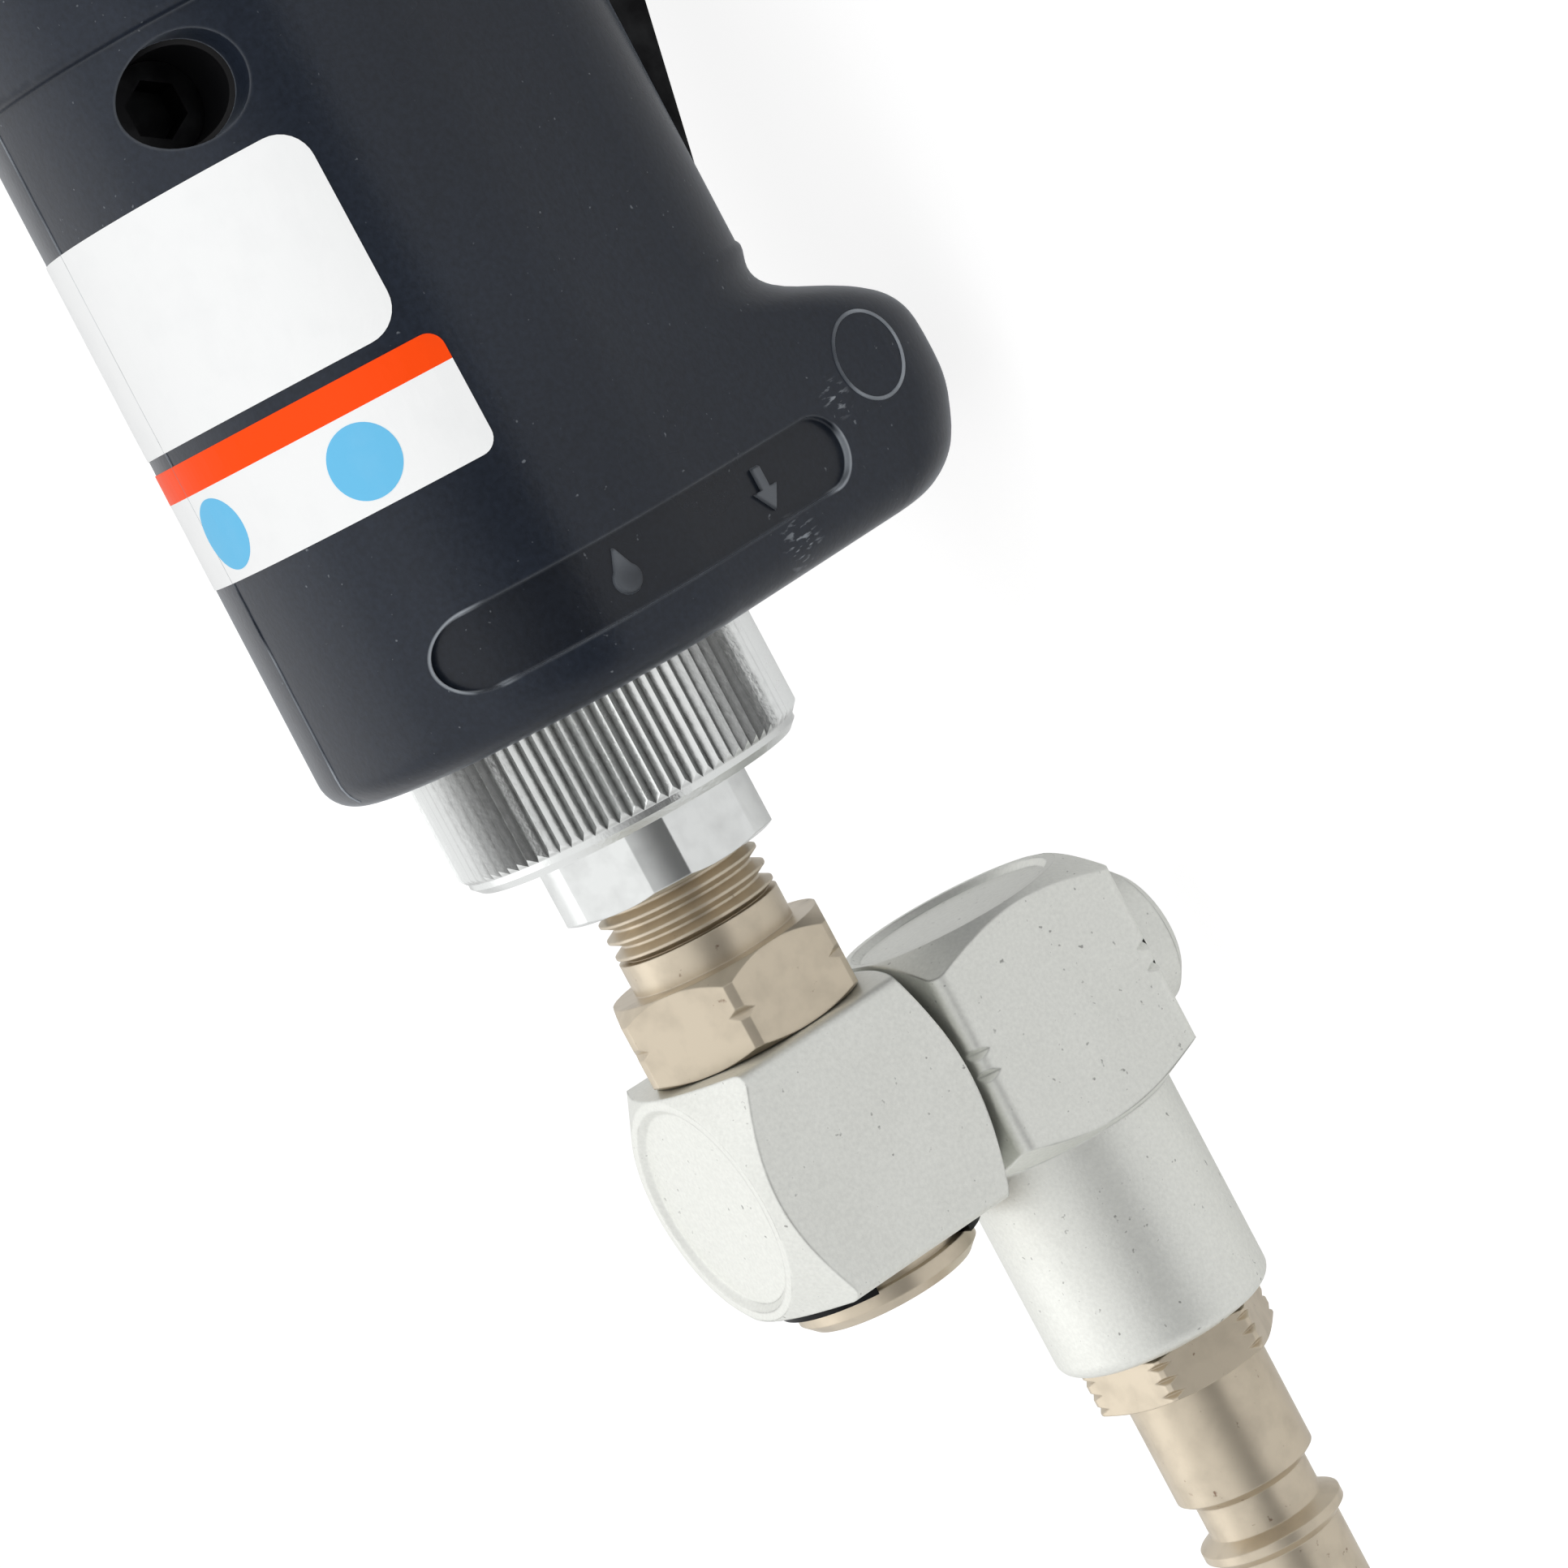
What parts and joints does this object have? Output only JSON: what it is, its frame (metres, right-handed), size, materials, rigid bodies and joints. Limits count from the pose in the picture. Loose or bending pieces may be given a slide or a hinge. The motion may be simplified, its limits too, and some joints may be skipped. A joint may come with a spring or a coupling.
{
  "type": "pneumatic jigsaw",
  "caption": "In-line pneumatic jigsaw with a moulded grip, lever throttle, knurled exhaust ring, swivel air inlet, reciprocating blade and an adjustable tilting shoe.",
  "frame": {"origin": "where the tool's axis meets the sole of the shoe", "axes": "+X forward along the blade, +Z to the back of the grip, the lever on the -Z side"},
  "size_m": [0.3432, 0.0396, 0.064],
  "materials": {
    "composite": "fine grained moulded composite",
    "aluminium": "satin turned",
    "nickel": "warm bright nickel plate",
    "cast_nickel": "satin nickel plate",
    "black_steel": "black oxide",
    "steel": "ground",
    "blade_steel": "dull rolled",
    "brass": "turned",
    "rubber": "matte",
    "nylon": "smooth"
  },
  "bodies": {
    "tool": {"bracket_screw": "black_steel", "bracket_washer": "steel", "bumper": "rubber", "chest_pins": "steel", "cylinder": "steel", "grip_housing": "composite", "head_o_ring": "rubber", "inlet_bushing": "aluminium", "inlet_o_ring": "rubber", "inlet_screen": "brass", "lever_pin": "steel", "nose_housing": "aluminium", "nose_o_ring": "rubber", "nose_screws": "black_steel", "rear_head": "aluminium", "retaining_screws": "black_steel", "ring_washer": "nylon", "rod_bush": "brass", "rod_wiper": "rubber", "stem_circlip": "black_steel", "stem_o_rings": "rubber", "swivel_stem": "nickel", "valve_body": "aluminium", "valve_bush": "brass", "valve_cap": "brass", "valve_chest": "aluminium", "valve_o_ring": "rubber", "valve_spring": "steel"},
    "exhaust_ring": {"exhaust_ring": "aluminium"},
    "elbow": {"swivel_elbow": "cast_nickel", "spigot_o_rings": "rubber", "spigot_circlip": "black_steel"},
    "socket": {"swivel_socket": "cast_nickel", "air_plug": "nickel"},
    "lever": {"throttle_lever": "black_steel"},
    "valve": {"valve_stem": "steel", "valve_seal": "rubber"},
    "flutter": {"flutter_valve": "steel"},
    "piston": {"piston_rod": "steel", "piston_ring": "steel", "blade_clamp": "steel", "clamp_screws": "black_steel", "saw_blade": "blade_steel"},
    "bracket": {"guide_bracket": "steel", "shoe_pin": "steel", "shoe_clips": "black_steel"},
    "shoe": {"shoe": "steel"}
  },
  "joints": [
    {"name": "throttle", "type": "hinge", "parent": "tool", "child": "lever", "pos_m": [-0.168, 0, -0.0215], "axis": [0, -1, 0], "range_deg": [0, 11], "stiffness_Nm_per_rad": 0.5, "springref_deg": -11.46},
    {"name": "valve_lift", "type": "slide", "parent": "tool", "child": "valve", "axis": [0, 0, 1], "range_m": [0, 0.0025], "deforming": ["valve_spring"]},
    {"name": "exhaust_turn", "type": "hinge", "parent": "tool", "child": "exhaust_ring", "pos_m": [-0.199, 0, 0], "axis": [1, 0, 0], "continuous": true},
    {"name": "swivel_turn", "type": "hinge", "parent": "tool", "child": "elbow", "pos_m": [-0.2325, 0, 0], "axis": [1, 0, 0], "continuous": true},
    {"name": "socket_swing", "type": "hinge", "parent": "elbow", "child": "socket", "pos_m": [-0.2325, 0, -0.0191], "axis": [0, 0, 1], "range_deg": [-110, 110]},
    {"name": "stroke", "type": "slide", "parent": "tool", "child": "piston", "axis": [1, 0, 0], "range_m": [0, 0.01]},
    {"name": "flutter_shift", "type": "slide", "parent": "tool", "child": "flutter", "axis": [1, 0, 0], "range_m": [0, 0.001]},
    {"name": "depth_slide", "type": "slide", "parent": "tool", "child": "bracket", "axis": [1, 0, 0], "range_m": [-0.004, 0.008]},
    {"name": "shoe_tilt", "type": "hinge", "parent": "bracket", "child": "shoe", "pos_m": [-0.008, 0, 0.0161], "axis": [0, 1, 0], "range_deg": [-15, 15]}
  ],
  "couplings": [
    {"joint": "valve_lift", "follows": "throttle", "m_per_rad": 0.012531}
  ]
}
